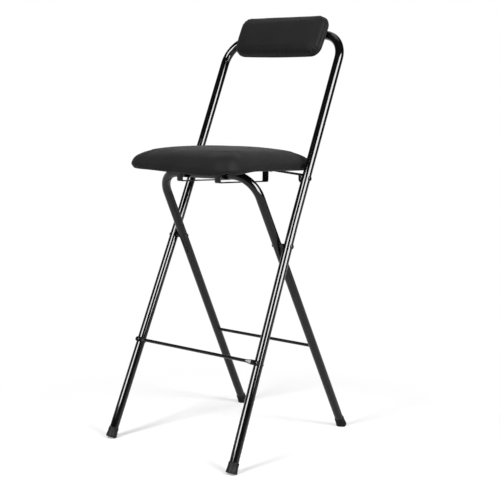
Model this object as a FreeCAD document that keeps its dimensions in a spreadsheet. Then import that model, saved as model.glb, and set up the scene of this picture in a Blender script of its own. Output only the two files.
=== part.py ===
import FreeCAD, Part
import math
import os

import Sketcher
from FreeCAD import Placement, Rotation, Vector

# Folding bar stool. X runs across the stool, the sitter faces -Y, Z is up and the floor is Z = 0.
# The origin is the middle of the footprint. Two tube frames cross like scissors.
# The seat turns on the main frame, and its guides ride on the rear frame's crossbar.

doc = FreeCAD.newDocument("FoldingBarStool")
sizes = doc.addObject("Spreadsheet::Sheet", "Sizes")

DRIVING = [
    # the two frames, bent from one size of tube
    ("tube_diameter", 22.0),
    ("tube_wall", 1.2),
    ("foot_spread", 487.0),
    ("main_lean", 22.78),
    ("main_foot_half", 199.1),
    ("main_upper_half", 185.6),
    ("main_knee", 600.0),
    ("knee_radius", 600.0),
    ("main_length", 1104.0),
    ("main_bend", 68.0),
    ("rear_lean", 28.88),
    ("rear_foot_half", 170.8),
    ("rear_upper_half", 148.5),
    ("rear_length", 763.0),
    ("rear_bend", 60.0),
    ("tube_end", 12.0),
    # rubber feet
    ("cap_radius", 12.5),
    ("cap_flare", 13.5),
    ("cap_height", 27.0),
    # footrest rods
    ("rod_diameter", 8.0),
    ("front_rod_height", 256.0),
    ("rear_rod_height", 267.0),
    ("rod_tab_thickness", 3.2),
    ("rod_tab_width", 12.0),
    ("rod_standoff", 15.4),
    # pivots
    ("pin_diameter", 6.0),
    ("pin_clearance", 0.08),
    ("head_radius", 6.0),
    ("head_height", 2.0),
    ("head_gap", 0.2),
    ("seat_pivot_z", 661.0),
    ("spacer_radius", 5.5),
    ("washer_thickness", 0.8),
    # seat ironwork
    ("strip_width", 22.0),
    ("strip_thickness", 3.0),
    ("strip_top", 678.7),
    ("strip_flat", 88.0),
    ("strip_drop", 7.5),
    ("ear_outer", 173.6),
    ("guide_offset", 61.0),
    ("guide_width", 18.0),
    ("guide_thickness", 2.5),
    ("guide_bottom", 648.0),
    ("guide_front", 147.6),
    ("guide_rear", 34.7),
    ("guide_lip", 8.0),
    ("guide_flange", 24.0),
    # seat pad
    ("seat_half", 169.0),
    ("seat_front", 237.0),
    ("seat_rear", 116.0),
    ("seat_corner", 40.0),
    ("seat_bow", 5.0),
    ("seat_crown", 56.4),
    ("board_underside", 679.8),
    ("board_thickness", 12.0),
    ("board_inset", 10.0),
    ("cover_thickness", 1.1),
    ("hem_width", 27.0),
    # backrest pad
    ("back_half_top", 137.4),
    ("back_half_bottom", 136.1),
    ("back_height", 109.0),
    ("back_middle", 1092.5),
    ("back_corner", 24.5),
    ("back_bow", 1.5),
    ("back_crown", 37.1),
    ("back_roll", -2.1),
    ("back_shift", 5.1),
    ("back_board_thickness", 9.0),
    ("back_board_inset", 8.0),
    # screws and their nuts
    ("screw_radius", 2.0),
    ("screw_head_radius", 4.4),
    ("screw_head_height", 2.6),
    ("nut_flange_radius", 7.0),
    ("nut_barrel_radius", 3.0),
    ("back_screw_offset", 70.0),
]
for row, (alias, value) in enumerate(DRIVING, start=1):
    sizes.set("A%d" % row, alias.replace("_", " "))
    sizes.set("B%d" % row, str(value))
    sizes.setAlias("B%d" % row, alias)
doc.recompute()


def mm(alias):
    return float(sizes.get(alias))


tube_radius = mm("tube_diameter") / 2
pin_radius = mm("pin_diameter") / 2
rod_radius = mm("rod_diameter") / 2
half_spread = mm("foot_spread") / 2

# a frame's own axes: X across, Z up along its legs, Y out of its plane to the rear
main_frame_axes = Placement(Vector(0, -half_spread, 0), Rotation(Vector(1, 0, 0), -mm("main_lean")))
rear_frame_axes = Placement(Vector(0, half_spread, 0), Rotation(Vector(1, 0, 0), mm("rear_lean")))

# the frames cross where both leg lines are at one height
main_slope = math.tan(math.radians(mm("main_lean")))
rear_slope = math.tan(math.radians(mm("rear_lean")))
crossing_z = mm("foot_spread") / (main_slope + rear_slope)
crossing = Vector(0, main_slope * crossing_z - half_spread, crossing_z)
seat_pivot = Vector(0, main_slope * mm("seat_pivot_z") - half_spread, mm("seat_pivot_z"))


def along(axes, point):
    """Height of a world point measured up a frame's legs."""
    return axes.inverse().multVec(point).z


def legFlare(foot_half, upper_half, rise):
    return math.atan2(foot_half - upper_half, rise)


main_flare = legFlare(mm("main_foot_half"), mm("main_upper_half"), mm("main_knee"))
rear_flare = legFlare(mm("rear_foot_half"), mm("rear_upper_half"), mm("rear_length"))


def mainHalf(height):
    return mm("main_upper_half") + max(0.0, mm("main_knee") - height) * math.tan(main_flare)


def rearHalf(height):
    return mm("rear_upper_half") + (mm("rear_length") - height) * math.tan(rear_flare)


# Drawing helpers. Every loop is straight runs joined by tangent arcs.


def roundedPath(points, radii, closed):
    """Line and arc geometry through the points, with a radius at each corner."""
    count = len(points)
    corners = []
    for i, point in enumerate(points):
        if not closed and i in (0, count - 1):
            corners.append((point, point, None))
            continue
        before = (points[i - 1] - point).normalize()
        after = (points[(i + 1) % count] - point).normalize()
        half_angle = before.getAngle(after) / 2
        if radii[i] < 0.001 or abs(half_angle - math.pi / 2) < 1e-6:
            corners.append((point, point, None))
            continue
        reach = radii[i] / math.tan(half_angle)
        start = point + before * reach
        end = point + after * reach
        centre = point + (before + after).normalize() * (radii[i] / math.sin(half_angle))
        middle = centre + (point - centre).normalize() * radii[i]
        corners.append((start, end, Part.Arc(start, middle, end)))
    items = []
    for i in range(count if closed else count - 1):
        if corners[i][2] and (closed or i > 0):
            items.append(corners[i][2])
        start = corners[i][1]
        end = corners[(i + 1) % count][0]
        if start.distanceToPoint(end) > 1e-4:
            items.append(Part.LineSegment(start, end))
    return items


def fillSketch(sketch, items, closed):
    """Adds the geometry and pins each joint between neighbours."""
    first = sketch.GeometryCount
    sketch.addGeometry(items, False)
    count = len(items)
    joints = []
    for i in range(count if closed else count - 1):
        one = first + i
        two = first + (i + 1) % count
        gaps = []
        for a in (1, 2):
            for b in (1, 2):
                gap = sketch.getPoint(one, a).distanceToPoint(sketch.getPoint(two, b))
                gaps.append((gap, a, b))
        nearest = min(gaps)
        joints.append(Sketcher.Constraint("Coincident", one, nearest[1], two, nearest[2]))
    sketch.addConstraint(joints)


def newBody(name, placement=Placement()):
    body = doc.addObject("PartDesign::Body", name)
    body.Label = name
    body.Placement = placement
    return body


def planeSketch(body, role, offset=Placement()):
    plane = [item for item in body.Origin.OriginFeatures if item.Role == role][0]
    sketch = body.newObject("Sketcher::SketchObject", body.Name + "_sketch")
    sketch.AttachmentSupport = (plane, [""])
    sketch.MapMode = "FlatFace"
    sketch.AttachmentOffset = offset
    return sketch


def addCircle(sketch, centre, radius_formula, radius):
    index = sketch.addGeometry(Part.Circle(centre, Vector(0, 0, 1), radius), False)
    number = sketch.addConstraint(Sketcher.Constraint("Radius", index, radius))
    sketch.setExpression("Constraints[%d]" % number, radius_formula)


def addPad(body, sketch, length_formula):
    pad = body.newObject("PartDesign::Pad", body.Name + "_pad")
    pad.Profile = sketch
    pad.setExpression("Length", length_formula)
    body.Tip = pad
    return pad


def addTube(body, path, start):
    """A hollow tube along the path, drawn as an outer sweep less an inner one."""
    bore_radius = tube_radius - mm("tube_wall")
    sweeps = (
        ("PartDesign::AdditivePipe", "Sizes.tube_diameter / 2", tube_radius),
        ("PartDesign::SubtractivePipe", "Sizes.tube_diameter / 2 - Sizes.tube_wall", bore_radius),
    )
    for kind, formula, radius in sweeps:
        profile = planeSketch(body, "XY_Plane", Placement(start, Rotation()))
        addCircle(profile, Vector(), formula, radius)
        sweep = body.newObject(kind, body.Name + "_sweep")
        sweep.Profile = profile
        sweep.Spine = (path, [""])
        body.Tip = sweep
        doc.recompute()


def turned(name, points, radii, placement):
    """A solid turned about its own Z axis. Points are (radius, height) pairs in order round the section."""
    body = newBody(name, placement)
    sketch = planeSketch(body, "XZ_Plane")
    loop = [Vector(x, y, 0) for x, y in points]
    fillSketch(sketch, roundedPath(loop, radii, True), True)
    spin = body.newObject("PartDesign::Revolution", name + "_turn")
    spin.Profile = sketch
    spin.ReferenceAxis = (sketch, ["V_Axis"])
    spin.Angle = 360
    body.Tip = spin
    return body


def roundBar(name, radius_formula, length_formula, placement):
    bar = doc.addObject("Part::Cylinder", name)
    bar.setExpression("Radius", radius_formula)
    bar.setExpression("Height", length_formula)
    bar.Placement = placement
    return bar


def cutAway(name, base, tools):
    result = base
    for i, tool in enumerate(tools, start=1):
        cut = doc.addObject("Part::Cut", "%s_cut%d" % (name, i))
        cut.Base = result
        cut.Tool = tool
        result = cut
    result.Label = name
    return result


def group(name, members):
    bunch = doc.addObject("Part::Compound", name)
    bunch.Links = members
    bunch.Label = name
    return bunch


def acrossAt(point, x):
    """Local Z runs along world X, starting at x on the line through the point."""
    return Placement(Vector(x, point.y, point.z), Rotation(Vector(0, 1, 0), 90))


def acrossFacing(point, x, side):
    return Placement(Vector(x, point.y, point.z), Rotation(Vector(0, 1, 0), 90 * side))


# Main frame: front legs that run up to the backrest, in one bent tube

RIGHT, LEFT = 1, -1
SIDES = (("left", LEFT), ("right", RIGHT))
BORE_LENGTH = 600.0
PIN_BORE = "Sizes.pin_diameter / 2 + Sizes.pin_clearance"
SCREW_BORE = "Sizes.screw_radius + Sizes.pin_clearance"


def frameTube(name, axes, corner_points, corner_radii):
    body = newBody(name + "_tube", axes)
    path = planeSketch(body, "XZ_Plane")
    fillSketch(path, roundedPath(corner_points, corner_radii, False), False)
    start = corner_points[0]
    doc.recompute()
    addTube(body, path, Vector(start.x, 0, start.y))
    return body


def mirrorPath(half_points, half_radii):
    mirrored = [Vector(-p.x, p.y, 0) for p in reversed(half_points)]
    return half_points + mirrored, half_radii + list(reversed(half_radii))


def sideBore(name, point):
    """A bore right across the stool, for a pivot pin on each side."""
    return roundBar(name, PIN_BORE, "%g" % BORE_LENGTH, acrossAt(point, -BORE_LENGTH / 2))


def faceBore(name, axes, x, height, formula):
    """A bore through a frame's tube from front to rear."""
    local = Placement(Vector(x, -2 * tube_radius, height), Rotation(Vector(1, 0, 0), -90))
    return roundBar(name, formula, "2 * Sizes.tube_diameter", axes.multiply(local))


main_points, main_radii = mirrorPath(
    [
        Vector(-mainHalf(mm("tube_end")), mm("tube_end"), 0),
        Vector(-mm("main_upper_half"), mm("main_knee"), 0),
        Vector(-mm("main_upper_half"), mm("main_length"), 0),
    ],
    [0.0, mm("knee_radius"), mm("main_bend")],
)
main_tube = frameTube("main_frame", main_frame_axes, main_points, main_radii)
front_rod_half = mainHalf(mm("front_rod_height"))
main_bores = [sideBore("main_crossing_bore", crossing), sideBore("main_seat_bore", seat_pivot)]
for side_name, side in SIDES:
    x = side * front_rod_half
    height = mm("front_rod_height")
    main_bores.append(faceBore("main_rod_bore_" + side_name, main_frame_axes, x, height, PIN_BORE))
    x = side * mm("back_screw_offset")
    height = mm("main_length")
    main_bores.append(faceBore("main_back_bore_" + side_name, main_frame_axes, x, height, SCREW_BORE))
main_frame = cutAway("main_frame", main_tube, main_bores)

# Rear leg frame: an inverted U whose top bar is the crossbar under the seat

rear_points, rear_radii = mirrorPath(
    [
        Vector(-rearHalf(mm("tube_end")), mm("tube_end"), 0),
        Vector(-mm("rear_upper_half"), mm("rear_length"), 0),
    ],
    [0.0, mm("rear_bend")],
)
rear_tube = frameTube("rear_leg_frame", rear_frame_axes, rear_points, rear_radii)
rear_rod_half = rearHalf(mm("rear_rod_height"))
rear_rod_length = 2 * (rear_rod_half - tube_radius / 2)
rear_rod_axes = rear_frame_axes.multiply(
    Placement(Vector(-rear_rod_length / 2, 0, mm("rear_rod_height")), Rotation(Vector(0, 1, 0), 90))
)
rear_rod_bore = roundBar(
    "rear_rod_bore", "Sizes.rod_diameter / 2 + Sizes.pin_clearance", "%g" % rear_rod_length, rear_rod_axes
)
rear_bores = [sideBore("rear_crossing_bore", crossing), rear_rod_bore]
rear_leg_frame = cutAway("rear_leg_frame", rear_tube, rear_bores)

# Footrest rods: the rear one is let into its legs, the front one is flattened at its ends and riveted on

rod_margin = 0.3
rear_footrest_rod = roundBar(
    "rear_footrest_rod",
    "Sizes.rod_diameter / 2",
    "%g" % (rear_rod_length - 2 * rod_margin),
    rear_rod_axes.multiply(Placement(Vector(0, 0, rod_margin), Rotation())),
)
rear_footrest_rod.Label = "rear_footrest_rod"

tab_reach = 8.0
taper_length = 12.0
tab_length = tab_reach + tube_radius + 3.0
tab_gap = 0.1
tab_y = -tube_radius - tab_gap - mm("rod_tab_thickness")


def frontRod():
    """A round rod with two flattened, rounded tabs, in the main frame's axes."""
    height = mm("front_rod_height")
    inner = front_rod_half + tab_reach - tab_length
    bar_half = inner - taper_length
    bar = roundBar(
        "front_rod_bar",
        "Sizes.rod_diameter / 2",
        "%g" % (2 * bar_half),
        Placement(Vector(-bar_half, -mm("rod_standoff"), height), Rotation(Vector(0, 1, 0), 90)),
    )
    pieces = [bar]
    for side_name, side in SIDES:
        tab = doc.addObject("Part::Box", "front_rod_tab_" + side_name)
        tab.setExpression("Length", "%g" % (tab_length - mm("rod_tab_width") / 2))
        tab.setExpression("Width", "Sizes.rod_tab_thickness")
        tab.setExpression("Height", "Sizes.rod_tab_width")
        x = inner if side == RIGHT else -inner - (tab_length - mm("rod_tab_width") / 2)
        tab.Placement = Placement(Vector(x, tab_y, height - mm("rod_tab_width") / 2), Rotation())
        nose = roundBar(
            "front_rod_nose_" + side_name,
            "Sizes.rod_tab_width / 2",
            "Sizes.rod_tab_thickness",
            Placement(
                Vector(side * (inner + tab_length - mm("rod_tab_width") / 2), tab_y, height),
                Rotation(Vector(1, 0, 0), -90),
            ),
        )
        flat = doc.addObject("Sketcher::SketchObject", "front_rod_flat_" + side_name)
        turn = Rotation(Vector(0, 1, 0), 90)
        middle_y = tab_y + mm("rod_tab_thickness") / 2
        flat.Placement = Placement(Vector(side * inner, middle_y, height), turn)
        half_w = mm("rod_tab_width") / 2
        half_t = mm("rod_tab_thickness") / 2
        corners = [Vector(-half_w, -half_t, 0), Vector(half_w, -half_t, 0)]
        corners += [Vector(half_w, half_t, 0), Vector(-half_w, half_t, 0)]
        fillSketch(flat, roundedPath(corners, [half_t * 0.9] * 4, True), True)
        end = doc.addObject("Sketcher::SketchObject", "front_rod_round_" + side_name)
        end.Placement = Placement(Vector(side * bar_half, -mm("rod_standoff"), height), turn)
        arm = rod_radius * 0.98
        square = [Vector(-arm, -arm, 0), Vector(arm, -arm, 0), Vector(arm, arm, 0), Vector(-arm, arm, 0)]
        fillSketch(end, roundedPath(square, [arm * 0.95] * 4, True), True)
        taper = doc.addObject("Part::Loft", "front_rod_taper_" + side_name)
        taper.Sections = [end, flat]
        taper.Solid = True
        pieces += [tab, nose, taper]
    rod = doc.addObject("Part::MultiFuse", "front_rod_blank")
    rod.Shapes = pieces
    rod.Placement = main_frame_axes
    return rod


rod_bores = []
for side_name, side in SIDES:
    x = side * front_rod_half
    height = mm("front_rod_height")
    rod_bores.append(faceBore("rod_tab_bore_" + side_name, main_frame_axes, x, height, PIN_BORE))
front_footrest_rod = cutAway("front_footrest_rod", frontRod(), rod_bores)

# Pins and rivets. Each is a shank with a domed head at both ends.


def pinSection(length):
    """Section of a headed pin whose shank is length long between its heads."""
    head = mm("head_radius")
    top = length + mm("head_height")
    points = [(0, -mm("head_height")), (head, -mm("head_height")), (head, 0), (pin_radius, 0)]
    points += [(pin_radius, length), (head, length), (head, top), (0, top)]
    dome = mm("head_height") * 0.8
    radii = [0, dome, 0, 0, 0, 0, dome, 0]
    return points, radii


def headedPin(name, length, placement):
    points, radii = pinSection(length)
    pin = turned(name, points, radii, placement)
    pin.setExpression("Placement.Base.x", "%g" % placement.Base.x)
    return pin


crossing_main_half = mainHalf(along(main_frame_axes, crossing))
crossing_rear_half = rearHalf(along(rear_frame_axes, crossing))
crossing_inner = crossing_rear_half - tube_radius - mm("head_gap")
crossing_outer = crossing_main_half + tube_radius + mm("head_gap")
spacer_start = crossing_rear_half + tube_radius + mm("head_gap")
spacer_end = crossing_main_half - tube_radius - mm("head_gap")
ear_inner = mm("ear_outer") - mm("strip_thickness")
seat_play = 0.05
pivot_outer = mm("main_upper_half") + tube_radius + seat_play
washer_start = mm("ear_outer") + seat_play

parts = []


def ring(name, outer_formula, outer, thickness, placement):
    body = newBody(name, placement)
    sketch = planeSketch(body, "XY_Plane")
    addCircle(sketch, Vector(), outer_formula, outer)
    addCircle(sketch, Vector(), PIN_BORE, pin_radius + mm("pin_clearance"))
    addPad(body, sketch, "%g" % thickness)
    return body


for side_name, side in SIDES:
    parts.append(
        headedPin(
            side_name + "_crossing_pin",
            crossing_outer - crossing_inner,
            acrossFacing(crossing, side * crossing_inner, side),
        )
    )
    parts.append(
        ring(
            side_name + "_crossing_spacer",
            "Sizes.spacer_radius",
            mm("spacer_radius"),
            spacer_end - spacer_start,
            acrossFacing(crossing, side * spacer_start, side),
        )
    )
    parts.append(
        headedPin(
            side_name + "_seat_pin",
            pivot_outer - ear_inner + seat_play,
            acrossFacing(seat_pivot, side * (ear_inner - seat_play), side),
        )
    )
    parts.append(
        ring(
            side_name + "_seat_washer",
            "Sizes.head_radius + 1",
            mm("head_radius") + 1,
            mm("washer_thickness"),
            acrossFacing(seat_pivot, side * washer_start, side),
        )
    )

rivet_play = 0.05
rivet_length = mm("rod_tab_thickness") + tab_gap + 2 * tube_radius + 2 * rivet_play
rod_rivets = []
for side_name, side in SIDES:
    start = Vector(side * front_rod_half, tab_y - rivet_play, mm("front_rod_height"))
    rivet_place = main_frame_axes.multiply(Placement(start, Rotation(Vector(1, 0, 0), -90)))
    rod_rivets.append(headedPin("footrest_rivet_" + side_name, rivet_length, rivet_place))
parts.append(group("footrest_rivets", rod_rivets))

# Rubber feet: flared caps with ends square to the tube, worn level where they stand on the floor

floor_cut_depth = 40.0
cap_bottom = 1.5
cap_edge = 1.0
bore_margin = 0.1


def footCap(name, axes, foot_half, flare, side):
    lean = Placement(Vector(side * foot_half, 0, 0), Rotation(Vector(0, 1, 0), -side * math.degrees(flare)))
    bore = tube_radius + bore_margin
    points = [
        (0, cap_bottom),
        (mm("cap_flare"), cap_bottom),
        (mm("cap_flare"), cap_bottom + 5.0),
        (mm("cap_radius"), mm("cap_height") * 0.62),
        (mm("cap_radius"), mm("cap_height")),
        (bore, mm("cap_height")),
        (bore, mm("tube_end") - bore_margin),
        (0, mm("tube_end") - bore_margin),
    ]
    blank = turned(name + "_blank", points, [0, cap_edge, 10.0, 30.0, 0.8, 0, 0, 0], axes.multiply(lean))
    floor = doc.addObject("Part::Box", name + "_floor")
    floor.setExpression("Length", "Sizes.cap_flare * 8")
    floor.setExpression("Width", "Sizes.cap_flare * 8")
    floor.Height = floor_cut_depth
    reach = mm("cap_flare") * 4
    floor.Placement = Placement(
        Vector(side * foot_half - reach, axes.Base.y - reach, -floor_cut_depth), Rotation()
    )
    return cutAway(name, blank, [floor])


for side_name, side in SIDES:
    name = "front_%s_foot_cap" % side_name
    parts.append(footCap(name, main_frame_axes, mm("main_foot_half"), main_flare, side))
    name = "rear_%s_foot_cap" % side_name
    parts.append(footCap(name, rear_frame_axes, mm("rear_foot_half"), rear_flare, side))

# Seat ironwork: a strip whose bent ears carry the seat on the main frame, and hooks that guide the crossbar


def bentStrip(name, outline, radii, width_formula, start_x):
    """A bent strip of steel, drawn on edge in the YZ plane and given its width along X."""
    body = newBody(name)
    sketch = planeSketch(body, "YZ_Plane", Placement(Vector(0, 0, start_x), Rotation()))
    fillSketch(sketch, roundedPath([Vector(y, z, 0) for y, z in outline], radii, True), True)
    addPad(body, sketch, width_formula)
    return body


strip_bottom = mm("strip_top") - mm("strip_thickness")
ear_radius = mm("strip_width") / 2
ear_bend = 1.6


def seatStrip():
    """The strip lies flat under the board, slopes down to each side and turns down into its ears."""
    outer = mm("ear_outer")
    inner = outer - mm("strip_thickness")
    flat = mm("strip_flat")
    low = mm("seat_pivot_z") - ear_radius
    end_top = mm("strip_top") - mm("strip_drop")
    end_bottom = strip_bottom - mm("strip_drop")
    right_half = [
        (flat, strip_bottom, 20.0),
        (inner, end_bottom, ear_bend),
        (inner, low, 0),
        (outer, low, 0),
        (outer, end_top, ear_bend + mm("strip_thickness")),
        (flat, mm("strip_top"), 20.0),
    ]
    left_half = [(-x, z, radius) for x, z, radius in reversed(right_half)]
    outline = right_half + left_half
    body = newBody("seat_pivot_strip_blank")
    sketch = planeSketch(body, "XZ_Plane", Placement(Vector(0, 0, -seat_pivot.y - ear_radius), Rotation()))
    corners = [Vector(x, z, 0) for x, z, radius in outline]
    fillSketch(sketch, roundedPath(corners, [radius for x, z, radius in outline], True), True)
    addPad(body, sketch, "Sizes.strip_width")
    return body


strip_screw_x = (-78.0, -25.0, 25.0, 78.0)


def uprightAt(x, y, z):
    return Placement(Vector(x, y, z), Rotation())


def screwBore(name, x, y, z):
    return roundBar(name, SCREW_BORE, "40", uprightAt(x, y, z))


ear_rounders = []
for side_name, side in SIDES:
    ear = roundBar(
        "ear_round_" + side_name,
        "Sizes.strip_width / 2",
        "Sizes.strip_width",
        acrossAt(seat_pivot, side * ear_inner - mm("strip_width") / 2),
    )
    block = doc.addObject("Part::Box", "ear_block_" + side_name)
    block.setExpression("Length", "Sizes.strip_width")
    block.setExpression("Width", "Sizes.strip_width * 2")
    block.setExpression("Height", "Sizes.strip_width / 2 + 2")
    block.Placement = uprightAt(
        side * ear_inner - mm("strip_width") / 2,
        seat_pivot.y - mm("strip_width"),
        seat_pivot.z - ear_radius - 2,
    )
    ear_rounders.append(cutAway("ear_rounder_" + side_name, block, [ear]))
strip_bores = [sideBore("strip_pivot_bore", seat_pivot)]
for i, x in enumerate(strip_screw_x):
    strip_bores.append(screwBore("strip_bore_%d" % i, x, seat_pivot.y, mm("strip_top") - 20))
parts.append(cutAway("seat_pivot_strip", seatStrip(), ear_rounders + strip_bores))

thickness = mm("guide_thickness")
guide_top = mm("guide_bottom") + thickness
flange_y = -mm("guide_front") - mm("guide_flange")
flange_screw_y = -mm("guide_front") - mm("guide_flange") / 2
flange_low = mm("board_underside") - thickness
for side_name, side in SIDES:
    start_x = side * mm("guide_offset") - mm("guide_width") / 2
    tab_front = -mm("guide_front")
    front_outline = [
        (flange_y, mm("board_underside")),
        (flange_y, flange_low),
        (tab_front, flange_low),
        (tab_front, mm("guide_bottom")),
        (tab_front + mm("guide_lip"), mm("guide_bottom")),
        (tab_front + mm("guide_lip"), guide_top),
        (tab_front + thickness, guide_top),
        (tab_front + thickness, mm("board_underside")),
    ]
    front_radii = [0, 0, 1.5, 3.5, 0, 0, 1.0, 4.0]
    hook = bentStrip(
        side_name + "_guide_front_blank", front_outline, front_radii, "Sizes.guide_width", start_x
    )
    bore = screwBore(
        side_name + "_guide_bore", side * mm("guide_offset"), flange_screw_y, mm("board_underside") - 20
    )
    parts.append(cutAway(side_name + "_guide_front_hook", hook, [bore]))
    tab_rear = mm("guide_rear")
    rear_outline = [
        (tab_rear, strip_bottom),
        (tab_rear - thickness, strip_bottom),
        (tab_rear - thickness, guide_top),
        (tab_rear - mm("guide_lip"), guide_top),
        (tab_rear - mm("guide_lip"), mm("guide_bottom")),
        (tab_rear, mm("guide_bottom")),
    ]
    rear_radii = [0, 0, 1.0, 0, 0, 3.5]
    parts.append(
        bentStrip(side_name + "_guide_rear_hook", rear_outline, rear_radii, "Sizes.guide_width", start_x)
    )

# Screws and tee nuts. Each screw stands on its head, pointing up its own Z axis.


def screw(name, shank, placement):
    head = mm("screw_head_radius")
    low = -mm("screw_head_height")
    radius = mm("screw_radius")
    points = [(0, low), (head, low), (head, 0), (radius, 0), (radius, shank), (0, shank)]
    return turned(name, points, [0, 2.0, 0, 0, 0.6, 0], placement)


def teeNut(name, barrel, placement):
    """A nut with its flange at local Z = 0, and its barrel hanging below."""
    bore = mm("screw_radius") + mm("pin_clearance")
    flange = mm("nut_flange_radius")
    wall = mm("nut_barrel_radius")
    points = [(bore, -barrel), (wall, -barrel), (wall, -1.0), (flange, -1.0), (flange, 0), (bore, 0)]
    return turned(name, points, [0] * 6, placement)


def nutPocket(name, placement, depth):
    """Room in a board for a tee nut: a bore right through and a shallow seat for the flange."""
    barrel = mm("nut_barrel_radius") + bore_margin
    flange = mm("nut_flange_radius") + bore_margin
    points = [(0, -depth), (barrel, -depth), (barrel, -1.2), (flange, -1.2), (flange, 1.0), (0, 1.0)]
    return turned(name, points, [0] * 6, placement)


board_top = mm("board_underside") + mm("board_thickness")
nut_barrel = 9.0
seat_nuts = []
nut_pockets = []
screw_places = [(x, seat_pivot.y) for x in strip_screw_x]
guide_places = [(side * mm("guide_offset"), flange_screw_y) for side_name, side in SIDES]
for i, (x, y) in enumerate(screw_places + guide_places):
    nut_place = uprightAt(x, y, board_top - 0.1)
    seat_nuts.append(teeNut("seat_tee_nut_%d" % i, nut_barrel, nut_place))
    nut_pockets.append(nutPocket("seat_nut_pocket_%d" % i, nut_place, mm("board_thickness") + 5))
strip_screws = []
for i, (x, y) in enumerate(screw_places):
    shank = board_top - strip_bottom - 1.5
    strip_screws.append(screw("strip_screw_%d" % i, shank, uprightAt(x, y, strip_bottom - 0.02)))
guide_screws = []
for i, (x, y) in enumerate(guide_places):
    shank = board_top - flange_low - 1.5
    guide_screws.append(screw("guide_screw_%d" % i, shank, uprightAt(x, y, flange_low - 0.02)))
parts.append(group("seat_tee_nuts", seat_nuts))
parts.append(group("strip_screws", strip_screws))
parts.append(group("guide_screws", guide_screws))

# Pads: a plywood board, foam over it and a cover drawn round both

CORNER_SHARPENING = 0.95


def padLoop(half_top, half_bottom, half_rise, bow, corner):
    """Rounded outline with gently bowed sides, centred on the origin."""
    half_middle = (half_top + half_bottom) / 2
    points = [
        Vector(-half_bottom + bow, -half_rise + bow, 0),
        Vector(0, -half_rise, 0),
        Vector(half_bottom - bow, -half_rise + bow, 0),
        Vector(half_middle, 0, 0),
        Vector(half_top - bow, half_rise - bow, 0),
        Vector(0, half_rise, 0),
        Vector(-half_top + bow, half_rise - bow, 0),
        Vector(-half_middle, 0, 0),
    ]
    radii = []
    for i in range(8):
        before = points[i - 1] - points[i]
        after = points[(i + 1) % 8] - points[i]
        if i % 2:
            room = min(before.Length, after.Length) - corner
            radii.append(0.6 * room * math.tan(before.getAngle(after) / 2))
        else:
            radii.append(corner)
    return roundedPath(points, radii, True)


def padForm(name, halves, rise, bow, corner, levels, shrink, placement):
    """Loft through the pad's outline at each level. A level is (height, inset)."""
    sharpening = corner / rise * CORNER_SHARPENING
    sections = []
    for i, (height, inset) in enumerate(levels):
        cut_in = inset + shrink
        section = doc.addObject("Sketcher::SketchObject", "%s_level_%d" % (name, i))
        soft_corner = corner - sharpening * inset - 0.5 * shrink
        loop = padLoop(halves[0] - cut_in, halves[1] - cut_in, rise - cut_in, bow, soft_corner)
        fillSketch(section, loop, True)
        section.Placement = placement.multiply(Placement(Vector(0, 0, height), Rotation()))
        sections.append(section)
    form = doc.addObject("Part::Loft", name)
    form.Sections = sections
    form.Solid = True
    form.Ruled = False
    return form


def padBoard(name, halves, rise, bow, corner, inset, thickness_formula, placement):
    body = newBody(name + "_blank", placement)
    sketch = planeSketch(body, "XY_Plane")
    loop = padLoop(halves[0] - inset, halves[1] - inset, rise - inset, bow, corner - inset / 2)
    fillSketch(sketch, loop, True)
    addPad(body, sketch, thickness_formula)
    return body


def crownLevels(crown, steps):
    """Scales a list of (share of crown, inset) pairs to real heights."""
    return [(share * crown, inset) for share, inset in steps]


def compressed(levels, thin):
    """The same form with its underside and its crown drawn in by the thickness of a skin."""
    top = levels[-1][0]
    return [(thin + height * (top - 2 * thin) / top, inset) for height, inset in levels]


SEAT_STEPS = [
    (0.0, 7.0),
    (0.06, 2.5),
    (0.16, 0.0),
    (0.30, 0.8),
    (0.46, 4.5),
    (0.64, 16.0),
    (0.80, 42.0),
    (0.93, 84.0),
    (1.0, 126.0),
]
seat_middle = (mm("seat_rear") - mm("seat_front")) / 2
seat_rise = (mm("seat_rear") + mm("seat_front")) / 2
seat_halves = (mm("seat_half"), mm("seat_half"))
skin = mm("cover_thickness")
seat_base = Placement(Vector(0, seat_middle, mm("board_underside") - skin), Rotation())
seat_levels = crownLevels(mm("seat_crown"), SEAT_STEPS)
seat_shape = (seat_halves, seat_rise, mm("seat_bow"), mm("seat_corner"))
foam_inset = skin + 0.8
below_base = uprightAt(0, 0, -4)

seat_outside = padForm("seat_cover_outside", *seat_shape, seat_levels, 0.0, seat_base)
seat_hollow = compressed(seat_levels, skin)
seat_inside = padForm("seat_cover_inside", *seat_shape, seat_hollow, skin, seat_base)
hem_place = seat_base.multiply(below_base)
hem_hole = padBoard("seat_hem_hole", *seat_shape, mm("hem_width"), "8", hem_place)
parts.append(cutAway("seat_cover", seat_outside, [seat_inside, hem_hole]))

board_place = Placement(Vector(0, seat_middle, mm("board_underside")), Rotation())
board_inset = mm("board_inset")
seat_board_blank = padBoard("seat_board", *seat_shape, board_inset, "Sizes.board_thickness", board_place)
parts.append(cutAway("seat_board", seat_board_blank, nut_pockets))
foam_levels = compressed(seat_levels, foam_inset)
foam_form = padForm("seat_foam_form", *seat_shape, foam_levels, foam_inset, seat_base)
room_place = board_place.multiply(below_base)
foam_room = padBoard("seat_foam_room", *seat_shape, board_inset, "Sizes.board_thickness + 4", room_place)
parts.append(cutAway("seat_foam", foam_form, [foam_room]))

# Backrest pad: the same build, standing in front of the main frame's top bar

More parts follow.
